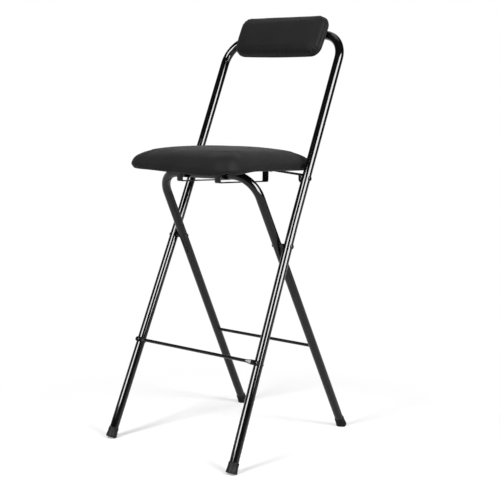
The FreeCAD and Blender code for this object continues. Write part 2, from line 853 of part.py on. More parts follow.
BACK_STEPS = [
    (0.0, 5.5),
    (0.08, 1.8),
    (0.24, 0.0),
    (0.44, 0.4),
    (0.62, 2.6),
    (0.76, 6.4),
    (0.87, 12.0),
    (0.95, 21.0),
    (1.0, 34.0),
]
back_gap = 0.3
back_plane = Placement(Vector(0, -tube_radius - back_gap, mm("back_middle")), Rotation(Vector(1, 0, 0), 90))
back_base = main_frame_axes.multiply(back_plane)
pad_skew = Placement(Vector(mm("back_shift"), 0, 0), Rotation(Vector(0, 0, 1), mm("back_roll")))
pad_base = back_base.multiply(pad_skew)
back_halves = (mm("back_half_top"), mm("back_half_bottom"))
back_levels = crownLevels(mm("back_crown"), BACK_STEPS)
back_shape = (back_halves, mm("back_height") / 2, mm("back_bow"), mm("back_corner"))
back_outside = padForm("backrest_cover_outside", *back_shape, back_levels, 0.0, pad_base)
back_hollow = compressed(back_levels, skin)
back_inside = padForm("backrest_cover_inside", *back_shape, back_hollow, skin, pad_base)

back_bar_height = mm("main_length") - mm("back_middle")
back_nuts = []
back_pockets = []
back_screws = []
cover_bores = []
back_board_top = skin + mm("back_board_thickness")
for side_name, side in SIDES:
    x = side * mm("back_screw_offset")
    nut_place = back_base.multiply(uprightAt(x, back_bar_height, back_board_top - 0.1))
    back_nuts.append(teeNut("backrest_tee_nut_" + side_name, nut_barrel - 2, nut_place))
    pocket_depth = mm("back_board_thickness") + 5
    back_pockets.append(nutPocket("backrest_nut_pocket_" + side_name, nut_place, pocket_depth))
    rear_face = 2 * tube_radius + back_gap
    shank = rear_face + back_board_top - 1.5
    screw_place = back_base.multiply(uprightAt(x, back_bar_height, -rear_face - mm("head_gap")))
    back_screws.append(screw("backrest_screw_" + side_name, shank, screw_place))
    cover_place = back_base.multiply(uprightAt(x, back_bar_height, -20))
    bore_name = "back_cover_bore_" + side_name
    cover_bores.append(roundBar(bore_name, "Sizes.screw_radius * 1.5", "24", cover_place))
parts.append(cutAway("backrest_cover", back_outside, [back_inside] + cover_bores))

back_board_place = pad_base.multiply(uprightAt(0, 0, skin))
back_board_inset = mm("back_board_inset")
back_board_blank = padBoard(
    "backrest_board", *back_shape, back_board_inset, "Sizes.back_board_thickness", back_board_place
)
parts.append(cutAway("backrest_board", back_board_blank, back_pockets))
back_foam_levels = compressed(back_levels, foam_inset)
back_foam_form = padForm("backrest_foam_form", *back_shape, back_foam_levels, foam_inset, pad_base)
back_room_place = back_board_place.multiply(below_base)
back_foam_room = padBoard(
    "backrest_foam_room", *back_shape, back_board_inset, "Sizes.back_board_thickness + 4", back_room_place
)
parts.append(cutAway("backrest_foam", back_foam_form, [back_foam_room]))
parts.append(group("backrest_tee_nuts", back_nuts))
parts.append(group("backrest_screws", back_screws))

parts += [main_frame, rear_leg_frame, front_footrest_rod, rear_footrest_rod]
doc.recompute()

# Every object must have rebuilt cleanly before any file is written
for item in doc.Objects:
    if "Invalid" in item.State or "Error" in item.State:
        raise RuntimeError("%s did not rebuild: %s" % (item.Label, item.State))
for item in parts:
    if item.Shape.isNull() or not item.Shape.isValid():
        raise RuntimeError("%s has no valid shape" % item.Label)

os.makedirs("parts", exist_ok=True)
for item in parts:
    item.Shape.exportStep("parts/%s.step" % item.Label)
    print("%-26s solids %d volume %.0f mm3" % (item.Label, len(item.Shape.Solids), item.Shape.Volume))
print("crossing", crossing, "seat pivot", seat_pivot)
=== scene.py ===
import math

import bmesh
import bpy
from mathutils import Matrix, Vector, noise


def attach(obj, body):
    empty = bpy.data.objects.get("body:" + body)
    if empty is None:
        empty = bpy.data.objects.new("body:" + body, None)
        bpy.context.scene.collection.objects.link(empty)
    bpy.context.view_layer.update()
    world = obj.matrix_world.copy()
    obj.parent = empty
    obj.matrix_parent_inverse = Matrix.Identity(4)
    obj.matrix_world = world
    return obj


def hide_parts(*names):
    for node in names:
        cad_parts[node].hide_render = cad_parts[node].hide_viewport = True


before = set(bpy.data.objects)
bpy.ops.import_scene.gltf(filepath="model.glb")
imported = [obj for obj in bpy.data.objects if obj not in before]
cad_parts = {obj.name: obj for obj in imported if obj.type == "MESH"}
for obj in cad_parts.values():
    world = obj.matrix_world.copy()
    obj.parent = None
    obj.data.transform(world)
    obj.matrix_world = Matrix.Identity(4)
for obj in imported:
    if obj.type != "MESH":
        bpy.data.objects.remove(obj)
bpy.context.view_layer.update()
bpy.ops.object.select_all(action="DESELECT")
print("frame loaded")

mm = 0.001


def toLinear(hexColour):
    shares = [int(hexColour[i:i + 2], 16) / 255 for i in (1, 3, 5)]
    return tuple(s / 12.92 if s <= 0.04045 else ((s + 0.055) / 1.055) ** 2.4 for s in shares) + (1.0,)


# A node with its settings, its ramp stops if it has them, and its links
def addNode(material, kind, settings=(), links=()):
    node = material.node_tree.nodes.new(kind)
    for name, value in dict(settings).items():
        if name == "stops":
            for element, (position, colour) in zip(node.color_ramp.elements, value):
                element.position, element.color = position, colour
        elif hasattr(node, str(name)):
            setattr(node, name, value)
        else:
            node.inputs[name].default_value = value
    for name, (source, output) in dict(links).items():
        material.node_tree.links.new(source.outputs[output], node.inputs[name])
    return node


def newMaterial(name):
    material = bpy.data.materials.new(name)
    material.use_nodes = True
    return material, material.node_tree.nodes["Principled BSDF"]


def plug(material, source, output, target, socket):
    material.node_tree.links.new(source.outputs[output], target.inputs[socket])


# Baked enamel on steel tube: a hard black film, slightly rippled, so reflections run as crisp, faintly wavy lines
enamel = dict(
    colour="#070708", rubbed="#0e0e10", roughLow=0.035, roughHigh=0.085, peelSize=9.0, peelDepth=0.003, dustSize=38.0,
    specular=0.3,
)


def makeEnamel(name, look):
    material, shader = newMaterial(name)
    place = addNode(material, "ShaderNodeTexCoord")
    peel = addNode(material, "ShaderNodeTexNoise", {"Scale": 1 / (look["peelSize"] * mm), "Detail": 1.0},
                   {"Vector": (place, "Object")})
    bump = addNode(material, "ShaderNodeBump", {"Strength": 1.0, "Distance": look["peelDepth"] * mm},
                   {"Height": (peel, "Fac")})
    patches = addNode(material, "ShaderNodeTexNoise", {"Scale": 1 / (look["dustSize"] * mm), "Detail": 4.0},
                      {"Vector": (place, "Object")})
    tone = addNode(material, "ShaderNodeValToRGB",
                   {"stops": [(0.35, toLinear(look["colour"])), (0.75, toLinear(look["rubbed"]))]},
                   {"Fac": (patches, "Fac")})
    gloss = addNode(material, "ShaderNodeMapRange",
                    {"From Min": 0.3, "From Max": 0.7, "To Min": look["roughLow"], "To Max": look["roughHigh"]},
                    {"Value": (patches, "Fac")})
    plug(material, tone, "Color", shader, "Base Color")
    plug(material, gloss, "Result", shader, "Roughness")
    plug(material, bump, "Normal", shader, "Normal")
    shader.inputs["Specular IOR Level"].default_value = look["specular"]
    return material


# Moulded rubber: matt, a little dusty, with scuffs towards the floor
rubber = dict(
    colour="#080809", scuff="#171718", roughness=0.55, grainSize=0.9, grainDepth=0.05, scuffTop=14.0, scuffSize=3.846,
    specular=0.12,
)


def makeRubber(name, look):
    material, shader = newMaterial(name)
    place = addNode(material, "ShaderNodeTexCoord")
    height = addNode(material, "ShaderNodeSeparateXYZ", links={"Vector": (place, "Object")})
    low = addNode(material, "ShaderNodeMapRange",
                  {"From Min": 0.0, "From Max": look["scuffTop"] * mm, "To Min": 1.0, "To Max": 0.0},
                  {"Value": (height, "Z")})
    marks = addNode(material, "ShaderNodeTexNoise",
                    {"Scale": 1 / (look["scuffSize"] * mm), "Detail": 5.0, "Roughness": 0.7},
                    {"Vector": (place, "Object")})
    worn = addNode(material, "ShaderNodeMath", {"operation": "MULTIPLY"}, {0: (low, "Result"), 1: (marks, "Fac")})
    tone = addNode(material, "ShaderNodeValToRGB",
                   {"stops": [(0.35, toLinear(look["colour"])), (0.75, toLinear(look["scuff"]))]},
                   {"Fac": (worn, "Value")})
    grain = addNode(material, "ShaderNodeTexNoise", {"Scale": 1 / (look["grainSize"] * mm), "Detail": 2.0},
                    {"Vector": (place, "Object")})
    bump = addNode(material, "ShaderNodeBump", {"Strength": 0.6, "Distance": look["grainDepth"] * mm},
                   {"Height": (grain, "Fac")})
    plug(material, tone, "Color", shader, "Base Color")
    plug(material, bump, "Normal", shader, "Normal")
    shader.inputs["Roughness"].default_value = look["roughness"]
    shader.inputs["Specular IOR Level"].default_value = look["specular"]
    return material


# Zinc plated steel: a cool grey metal with a faint milky bloom and fine scratches
zinc = dict(
    colour="#b9bcbe", bloom="#8f9396", roughLow=0.24, roughHigh=0.42, patchSize=4.0, scratchSize=(0.4, 3.333, 0.4),
)


def makeMetal(name, look):
    material, shader = newMaterial(name)
    place = addNode(material, "ShaderNodeTexCoord")
    patches = addNode(material, "ShaderNodeTexNoise", {"Scale": 1 / (look["patchSize"] * mm), "Detail": 6.0},
                      {"Vector": (place, "Object")})
    tone = addNode(material, "ShaderNodeValToRGB",
                   {"stops": [(0.35, toLinear(look["bloom"])), (0.65, toLinear(look["colour"]))]},
                   {"Fac": (patches, "Fac")})
    gloss = addNode(material, "ShaderNodeMapRange",
                    {"From Min": 0.3, "From Max": 0.7, "To Min": look["roughHigh"], "To Max": look["roughLow"]},
                    {"Value": (patches, "Fac")})
    fineness = [1 / (size * mm) for size in look["scratchSize"]]
    scratches = addNode(material, "ShaderNodeMapping", {"Scale": fineness}, {"Vector": (place, "Object")})
    lines = addNode(material, "ShaderNodeTexNoise", {"Scale": 1.0, "Detail": 2.0}, {"Vector": (scratches, "Vector")})
    bump = addNode(material, "ShaderNodeBump", {"Strength": 0.4, "Distance": 0.02 * mm}, {"Height": (lines, "Fac")})
    plug(material, tone, "Color", shader, "Base Color")
    plug(material, gloss, "Result", shader, "Roughness")
    plug(material, bump, "Normal", shader, "Normal")
    shader.inputs["Metallic"].default_value = 1.0
    return material


# Birch plywood stained black: the soft figure still shows, and the plies show brown where the edge is worn
plywood = dict(pale="#1f1d1b", figure="#131211", ply="#3d3026", plySpacing=1.6, figureWidth=9.0, roughness=0.58)


def makePlywood(name, look):
    material, shader = newMaterial(name)
    place = addNode(material, "ShaderNodeTexCoord")
    along = addNode(material, "ShaderNodeMapping", {"Scale": (1.0, 0.06, 1.0)}, {"Vector": (place, "Object")})
    figure = addNode(material, "ShaderNodeTexNoise",
                     {"Scale": 1 / (look["figureWidth"] * mm), "Detail": 6.0, "Roughness": 0.62, "Distortion": 0.6},
                     {"Vector": (along, "Vector")})
    tone = addNode(material, "ShaderNodeValToRGB",
                   {"stops": [(0.38, toLinear(look["figure"])), (0.62, toLinear(look["pale"]))]},
                   {"Fac": (figure, "Fac")})
    height = addNode(material, "ShaderNodeSeparateXYZ", links={"Vector": (place, "Object")})
    layer = addNode(material, "ShaderNodeMath", {"operation": "PINGPONG", 1: look["plySpacing"] * mm},
                    {0: (height, "Z")})
    face = addNode(material, "ShaderNodeNewGeometry")
    facing = addNode(material, "ShaderNodeSeparateXYZ", links={"Vector": (face, "Normal")})
    upright = addNode(material, "ShaderNodeMath", {"operation": "ABSOLUTE"}, {0: (facing, "Z")})
    isEdge = addNode(material, "ShaderNodeMath", {"operation": "LESS_THAN", 1: 0.5}, {0: (upright, "Value")})
    dark = addNode(material, "ShaderNodeMapRange",
                   {"From Min": 0.4 * look["plySpacing"] * mm, "From Max": 0.6 * look["plySpacing"] * mm},
                   {"Value": (layer, "Value")})
    amount = addNode(material, "ShaderNodeMath", {"operation": "MULTIPLY"},
                     {0: (isEdge, "Value"), 1: (dark, "Result")})
    plies = addNode(material, "ShaderNodeMix", {"data_type": "RGBA", 7: toLinear(look["ply"])},
                    {0: (amount, "Value"), 6: (tone, "Color")})
    bump = addNode(material, "ShaderNodeBump", {"Strength": 0.4, "Distance": 0.08 * mm}, {"Height": (figure, "Fac")})
    plug(material, plies, 2, shader, "Base Color")
    plug(material, bump, "Normal", shader, "Normal")
    shader.inputs["Roughness"].default_value = look["roughness"]
    return material


# PVC leatherette: embossed pebble grain, drawn near twice its real 1 mm so that it shows, with a soft plastic sheen
leatherette = dict(
    colour="#080809", worn="#101011", pebble=1.9, pebbleDepth=0.14, roughLow=0.6, roughHigh=0.75, wearSize=70.0,
    creaseSize=16.0, creaseDepth=0.3, warpSize=3.333, warp=0.8, specular=0.055, sheen=0.075,
)


def makeLeatherette(name, look):
    material, shader = newMaterial(name)
    place = addNode(material, "ShaderNodeTexCoord")
    warp = addNode(material, "ShaderNodeTexNoise", {"Scale": 1 / (look["warpSize"] * mm), "Detail": 1.0},
                   {"Vector": (place, "Object")})
    offset = addNode(material, "ShaderNodeVectorMath", {"operation": "MULTIPLY_ADD", 1: (look["warp"] * mm,) * 3},
                     {0: (warp, "Color"), 2: (place, "Object")})
    pebbles = addNode(material, "ShaderNodeTexVoronoi",
                      {"feature": "SMOOTH_F1", "Scale": 1 / (look["pebble"] * mm), "Smoothness": 0.6},
                      {"Vector": (offset, "Vector")})
    fold = addNode(material, "ShaderNodeTexNoise", {"Scale": 1 / (look["creaseSize"] * mm), "Detail": 3.0},
                   {"Vector": (place, "Object")})
    wear = addNode(material, "ShaderNodeTexNoise", {"Scale": 1 / (look["wearSize"] * mm), "Detail": 4.0},
                   {"Vector": (place, "Object")})
    tone = addNode(material, "ShaderNodeValToRGB",
                   {"stops": [(0.32, toLinear(look["colour"])), (0.72, toLinear(look["worn"]))]},
                   {"Fac": (wear, "Fac")})
    # Painted shade: the valleys between the pebbles are darkened in the colour, down to about three quarters
    valleyPaintedShade = addNode(material, "ShaderNodeValToRGB",
                   {"stops": [(0.25, (1, 1, 1, 1)), (0.75, (0.72, 0.72, 0.72, 1))]},
                   {"Fac": (pebbles, "Distance")})
    shade = addNode(material, "ShaderNodeMix", {"data_type": "RGBA", "blend_type": "MULTIPLY", 0: 0.7},
                    {6: (tone, "Color"), 7: (valleyPaintedShade, "Color")})
    gloss = addNode(material, "ShaderNodeMapRange",
                    {"From Min": 0.1, "From Max": 0.8, "To Min": look["roughLow"], "To Max": look["roughHigh"]},
                    {"Value": (pebbles, "Distance")})
    soft = addNode(material, "ShaderNodeBump", {"Strength": 0.5, "Distance": look["creaseDepth"] * mm},
                   {"Height": (fold, "Fac")})
    bump = addNode(material, "ShaderNodeBump",
                   {"Strength": 0.7, "Distance": look["pebbleDepth"] * mm, "invert": True},
                   {"Height": (pebbles, "Distance"), "Normal": (soft, "Normal")})
    plug(material, shade, 2, shader, "Base Color")
    plug(material, gloss, "Result", shader, "Roughness")
    plug(material, bump, "Normal", shader, "Normal")
    shader.inputs["Specular IOR Level"].default_value = look["specular"]
    shader.inputs["Sheen Weight"].default_value = look["sheen"]
    shader.inputs["Sheen Roughness"].default_value = 0.5
    return material


# Nylon: a slightly milky, waxy plastic
nylon = dict(colour="#d9d6cc", shade="#bdb9ac", roughness=0.42, patchSize=5.0)


def makeNylon(name, look):
    material, shader = newMaterial(name)
    place = addNode(material, "ShaderNodeTexCoord")
    patches = addNode(material, "ShaderNodeTexNoise", {"Scale": 1 / (look["patchSize"] * mm), "Detail": 3.0},
                      {"Vector": (place, "Object")})
    tone = addNode(material, "ShaderNodeValToRGB",
                   {"stops": [(0.3, toLinear(look["shade"])), (0.7, toLinear(look["colour"]))]},
                   {"Fac": (patches, "Fac")})
    plug(material, tone, "Color", shader, "Base Color")
    shader.inputs["Roughness"].default_value = look["roughness"]
    shader.inputs["Subsurface Weight"].default_value = 0.1
    return material


glossEnamel = makeEnamel("glossEnamel", enamel)
rodEnamel = makeEnamel("rodEnamel", dict(enamel, roughLow=0.22, roughHigh=0.3))
bracketEnamel = makeEnamel("bracketEnamel", dict(enamel, roughLow=0.2, roughHigh=0.34))
footRubber = makeRubber("footRubber", rubber)
zincSteel = makeMetal("zincSteel", zinc)
paintedRivet = makeEnamel("paintedRivet", dict(enamel, colour="#101011", peelSize=2.0))
stainedPlywood = makePlywood("stainedPlywood", plywood)
blackLeatherette = makeLeatherette("blackLeatherette", leatherette)
washerNylon = makeNylon("washerNylon", nylon)

nodeFinish = {
    "front_footrest_rod": rodEnamel,
    "rear_footrest_rod": rodEnamel,
    "footrest_rivets": paintedRivet,
    "seat_pivot_strip": bracketEnamel,
    "strip_screws": zincSteel,
    "guide_screws": zincSteel,
    "seat_tee_nuts": zincSteel,
    "backrest_tee_nuts": zincSteel,
    "backrest_screws": zincSteel,
    "seat_board": stainedPlywood,
    "backrest_board": stainedPlywood,
}
for side in ("left", "right"):
    nodeFinish[side + "_crossing_pin"] = paintedRivet
    nodeFinish[side + "_seat_pin"] = paintedRivet
    nodeFinish[side + "_crossing_spacer"] = bracketEnamel
    nodeFinish[side + "_seat_washer"] = washerNylon
    for end in ("front", "rear"):
        nodeFinish["%s_%s_foot_cap" % (end, side)] = footRubber
        nodeFinish["%s_guide_%s_hook" % (side, end)] = bracketEnamel
for nodeName, finish in nodeFinish.items():
    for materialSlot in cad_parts[nodeName].material_slots:
        materialSlot.material = finish
print("CAD nodes finished:", len(nodeFinish))


def finishPiece(piece, name, finish, angle=35.0):
    piece.name = name
    piece.data.name = name
    piece.data.materials.clear()
    piece.data.materials.append(finish)
    bpy.ops.object.select_all(action="DESELECT")
    piece.select_set(True)
    bpy.context.view_layer.objects.active = piece
    bpy.ops.object.transform_apply(location=True, rotation=True, scale=True)
    bpy.ops.object.shade_smooth_by_angle(angle=math.radians(angle))
    piece.select_set(False)
    return piece


def applyModifier(piece, kind, settings):
    bpy.ops.object.select_all(action="DESELECT")
    piece.select_set(True)
    bpy.context.view_layer.objects.active = piece
    modifier = piece.modifiers.new(kind.lower(), kind)
    for name, value in settings.items():
        setattr(modifier, name, value)
    bpy.ops.object.modifier_apply(modifier=modifier.name)


def placePiece(piece, place):
    piece.data.transform(place)
    piece.data.update()


# Edge select mode, with only the edges that wanted(start, end) accepts
def selectEdges(piece, wanted):
    bpy.ops.mesh.select_mode(type="EDGE")
    bpy.ops.mesh.select_all(action="DESELECT")
    mesh = bmesh.from_edit_mesh(piece.data)
    for edge in mesh.edges:
        if wanted(edge.verts[0].co, edge.verts[1].co):
            edge.select = True
    mesh.select_flush_mode()
    bmesh.update_edit_mesh(piece.data)


# Bent frames: round tube, drawn in each frame's own upright plane as (across, up), then leant into place
tube = dict(diameter=22.0, wall=1.2, around=48, kneeSteps=6, bendSteps=20, bendFrom=0.5, weld=0.02)
mainTube = dict(
    path=[(-198.83, 12.0), (-185.6, 600.0), (-185.6, 1104.0), (185.6, 1104.0), (185.6, 600.0), (198.83, 12.0)],
    bends=[600.0, 68.0, 68.0, 600.0], footY=-243.5, lean=-22.78,
)
rearTube = dict(
    path=[(-170.45, 12.0), (-148.5, 763.0), (148.5, 763.0), (170.45, 12.0)],
    bends=[60.0, 60.0], footY=243.5, lean=28.88,
)


def leanAxes(look):
    return Matrix.Translation((0, look["footY"] * mm, 0)) @ Matrix.Rotation(math.radians(look["lean"]), 4, "X")


def bendTube(name, look, finish):
    corners = [Vector((x * mm, 0, z * mm)) for x, z in look["path"]]
    runs = [(b - a).normalized() for a, b in zip(corners, corners[1:])]
    tilt = math.atan2(runs[0].x, runs[0].z)
    bpy.ops.mesh.primitive_circle_add(
        vertices=tube["around"], radius=tube["diameter"] / 2 * mm, location=corners[0], rotation=(0, tilt, 0))
    piece = bpy.context.active_object
    bpy.ops.object.transform_apply(location=True, rotation=True, scale=True)
    bpy.ops.object.mode_set(mode="EDIT")
    bpy.ops.mesh.select_all(action="SELECT")
    here = corners[0]
    for corner, before, after, radius in zip(corners[1:-1], runs, runs[1:], look["bends"]):
        turn = before.angle(after)
        setback = math.tan(turn / 2) * radius * mm
        start = corner - before * setback
        bpy.ops.mesh.extrude_region_move(TRANSFORM_OT_translate={"value": start - here})
        side = (after - before * before.dot(after)).normalized()
        hand = math.copysign(1.0, before.cross(after).y)
        steps = tube["bendSteps"] if turn > tube["bendFrom"] else tube["kneeSteps"]
        bpy.ops.mesh.spin(steps=steps, angle=-hand * turn, center=start + side * radius * mm, axis=(0, 1, 0))
        here = corner + after * setback
    bpy.ops.mesh.extrude_region_move(TRANSFORM_OT_translate={"value": corners[-1] - here})
    bpy.ops.mesh.select_all(action="SELECT")
    bpy.ops.mesh.remove_doubles(threshold=tube["weld"] * mm)
    bpy.ops.mesh.normals_make_consistent(inside=False)
    bpy.ops.object.mode_set(mode="OBJECT")
    applyModifier(piece, "SOLIDIFY", {"thickness": tube["wall"] * mm, "offset": -1.0})
    placePiece(piece, leanAxes(look))
    return finishPiece(piece, name, finish)


mainFrameTube = bendTube("mainFrameTube", mainTube, glossEnamel)
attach(mainFrameTube, "frame")
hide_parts("main_frame")
rearLegTube = bendTube("rearLegTube", rearTube, glossEnamel)
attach(rearLegTube, "rear_legs")
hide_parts("rear_leg_frame")
print("frame tubes bent")

# Crossbar guides: one bent strap a side, screwed under the board in front and welded to the strip behind
guide = dict(offset=61.0, width=18.0, thickness=2.5, bend=3.4, bendSegments=6, edge=0.45)
guidePath = [(-171.6, 678.55), (-146.35, 678.55), (-146.35, 649.25), (33.45, 649.25), (33.45, 675.6)]


def liesAt(point, corner):
    return abs(point.y - corner[0] * mm) + abs(point.z - corner[1] * mm) < 0.01 * mm


def makeGuide(name, centreX, look, path):
    first, second = Vector((0, *path[0])), Vector((0, *path[1]))
    bpy.ops.mesh.primitive_plane_add(size=1.0, location=(centreX * mm, (first.y + second.y) / 2 * mm, first.z * mm))
    piece = bpy.context.active_object
    piece.scale = (look["width"] * mm, (second.y - first.y) * mm, 1.0)
    bpy.ops.object.transform_apply(location=True, rotation=True, scale=True)
    bpy.ops.object.mode_set(mode="EDIT")
    for here, there in zip(path[1:], path[2:]):
        selectEdges(piece, lambda a, b: liesAt(a, here) and liesAt(b, here))
        step = (0.0, (there[0] - here[0]) * mm, (there[1] - here[1]) * mm)
        bpy.ops.mesh.extrude_region_move(TRANSFORM_OT_translate={"value": step})
    selectEdges(piece, lambda a, b: any(liesAt(a, corner) and liesAt(b, corner) for corner in path[1:-1]))
    bpy.ops.mesh.bevel(offset=look["bend"] * mm, segments=look["bendSegments"], affect="EDGES")
    bpy.ops.object.mode_set(mode="OBJECT")
    applyModifier(piece, "SOLIDIFY", {"thickness": look["thickness"] * mm, "offset": 0.0})
    applyModifier(piece, "BEVEL", {"width": look["edge"] * mm, "segments": 2, "angle_limit": math.radians(50)})
    return finishPiece(piece, name, bracketEnamel)


for side, sign in (("left", -1), ("right", 1)):
    strap = makeGuide(side + "CrossbarGuide", sign * guide["offset"], guide, guidePath)
    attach(strap, "seat")
    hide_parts(side + "_guide_front_hook", side + "_guide_rear_hook")
print("crossbar guides made")


# How finely the pads' outlines are drawn
drawing = dict(arcSteps=12, spacing=1.5, leastCorner=0.5, halvings=24)


# Evenly spaced points round a rounded pad with gently bowed sides, centred on the origin
def padOutline(halfTop, halfBottom, rise, bow, corner, count):
    corner = max(corner, drawing["leastCorner"])
    straight = []
    turns = ((1, 1), (-1, 1), (-1, -1), (1, -1))
    for k, (sx, sy) in enumerate(turns):
        half = halfTop if sy > 0 else halfBottom
        centre = Vector((sx * (half - corner), sy * (rise - corner)))
        for step in range(drawing["arcSteps"] + 1):
            angle = math.pi / 2 * (k + step / drawing["arcSteps"])
            straight.append(centre + Vector((math.cos(angle), math.sin(angle))) * corner)
    dense = []
    for i, point in enumerate(straight):
        after = straight[(i + 1) % len(straight)]
        pieces = max(1, round((after - point).length / drawing["spacing"]))
        dense += [point.lerp(after, j / pieces) for j in range(pieces)]
    widest = max(halfTop, halfBottom)
    bowed = []
    for point in dense:
        inX = bow * min(1.0, abs(point.y) / rise) ** 2
        inY = bow * min(1.0, abs(point.x) / widest) ** 2
        bowed.append(Vector((point.x * (1 - inX / widest), point.y * (1 - inY / rise))))
    lengths = [0.0]
    for i, point in enumerate(bowed):
        lengths.append(lengths[-1] + (bowed[(i + 1) % len(bowed)] - point).length)
    points = []
    walk = 0
    for i in range(count):
        target = lengths[-1] * i / count
        while lengths[walk + 1] < target:
            walk += 1
        share = (target - lengths[walk]) / (lengths[walk + 1] - lengths[walk])
        points.append(bowed[walk].lerp(bowed[(walk + 1) % len(bowed)], share))
    return points


# A smooth line through (inset, height) pairs, with a point about every spacing
def curveThrough(pairs, spacing):
    line = [Vector(pair) for pair in pairs]
    ends = [line[0] * 2 - line[1]] + line + [line[-1] * 2 - line[-2]]
    points = []
    for i in range(len(line) - 1):
        a, b, c, d = ends[i:i + 4]
        steps = max(1, round((c - b).length / spacing))
        for j in range(steps):
            t = j / steps
            points.append(0.5 * (2 * b + (c - a) * t + (2 * a - 5 * b + 4 * c - d) * t ** 2
                                 + (3 * b - a - 3 * c + d) * t ** 3))
    points.append(line[-1])
    return points


# How far a point of the crown is in from the pad's edge, on the same rounded outlines that the rings follow
def insetOf(x, y, look):
    wide, rise = max(look["halfTop"], look["halfBottom"]), look["rise"]
    u = abs(x) / (1 - look["bow"] * min(1.0, abs(y) / rise) ** 2 / wide)
    v = abs(y) / (1 - look["bow"] * min(1.0, abs(x) / wide) ** 2 / rise)
    low, high = 0.0, min(wide, rise)
    for _ in range(drawing["halvings"]):
        inset = (low + high) / 2
        halfX, halfY = wide - inset, rise - inset
        corner = min(max(look["corner"] - look["sharpening"] * inset, drawing["leastCorner"]), halfX, halfY)
        outX, outY = u - (halfX - corner), v - (halfY - corner)
        gap = math.hypot(max(outX, 0), max(outY, 0)) + min(max(outX, outY), 0) - corner
        low, high = (inset, high) if gap < 0 else (low, inset)
    return low


def heightAt(inset, profile):
    for a, b in zip(profile, profile[1:]):
        if a.x <= inset <= b.x:
            return a.y + (b.y - a.y) * (inset - a.x) / (b.x - a.x)
    return profile[-1].y


# An even grid of faces inside the last ring, so that the crown has no star of long thin faces
def gridCrown(mesh, ring, look, profile):
    count = len(ring)
    wide = max(look["halfTop"], look["halfBottom"])
    across = round(count / 2 * wide / (wide + look["rise"]))
    along = count // 2 - across
    diagonal = Vector((wide, look["rise"])).normalized()
    corner = min(range(count), key=lambda i: (ring[i].co.xy.normalized() - diagonal).length)
    loop = [ring[(corner + i) % count] for i in range(count)]
    top = loop[:across + 1]
    left = loop[across:across + along + 1]
    bottom = list(reversed(loop[across + along:2 * across + along + 1]))
    right = list(reversed(loop[2 * across + along:] + [loop[0]]))
    rows = [top]
    for j in range(1, along):
        v = j / along
        row = [right[j]]
        for i in range(1, across):
            u = i / across
            flat = (top[i].co * (1 - v) + bottom[i].co * v + right[j].co * (1 - u) + left[j].co * u
                    - top[0].co * (1 - u) * (1 - v) - top[-1].co * u * (1 - v)
                    - bottom[0].co * (1 - u) * v - bottom[-1].co * u * v)
            inset = insetOf(flat.x / mm, flat.y / mm, look)
            row.append(mesh.verts.new((flat.x, flat.y, heightAt(inset, profile) * mm)))
        rows.append(row + [left[j]])
    rows.append(bottom)
    for upper, lower in zip(rows, rows[1:]):
        for i in range(across):
            mesh.faces.new((upper[i], upper[i + 1], lower[i + 1], lower[i]))


# A closed pad in its own axes: hem or back below, then the sides, then the crown
def padBody(name, look):
    shape = (look["halfTop"], look["halfBottom"], look["rise"])
    profile = curveThrough(look["section"], look["spacing"])
    lip = [i for i, point in enumerate(profile) if point.x <= look["ringsTo"]][-1]
    sides, profile = profile[:lip + 1], profile[lip:]
    mesh = bmesh.new()
    rings = []
    for inset, height in [Vector(pair) for pair in look["under"]] + sides:
        corner = look["corner"] - look["sharpening"] * max(0.0, inset)
        points = padOutline(*[half - inset for half in shape], look["bow"], corner, look["around"])
        rings.append([mesh.verts.new((p.x * mm, p.y * mm, height * mm)) for p in points])
    for low, high in zip(rings, rings[1:]):
        for i in range(len(low)):
            j = (i + 1) % len(low)
            mesh.faces.new((low[i], low[j], high[j], high[i]))
    bmesh.ops.poke(mesh, faces=[mesh.faces.new(list(reversed(rings[0])))])
    gridCrown(mesh, rings[-1], look, profile)
    bmesh.ops.recalc_face_normals(mesh, faces=mesh.faces)
    data = bpy.data.meshes.new(name)
    mesh.to_mesh(data)
    mesh.free()
    piece = bpy.data.objects.new(name, data)
    bpy.context.scene.collection.objects.link(piece)
    return piece


# How the covers behave as cloth, and how much of its own move each point keeps when the moves are evened out
cover = dict(stretch=12.0, bending=0.8, quality=5, frames=20, ownShare=0.4)


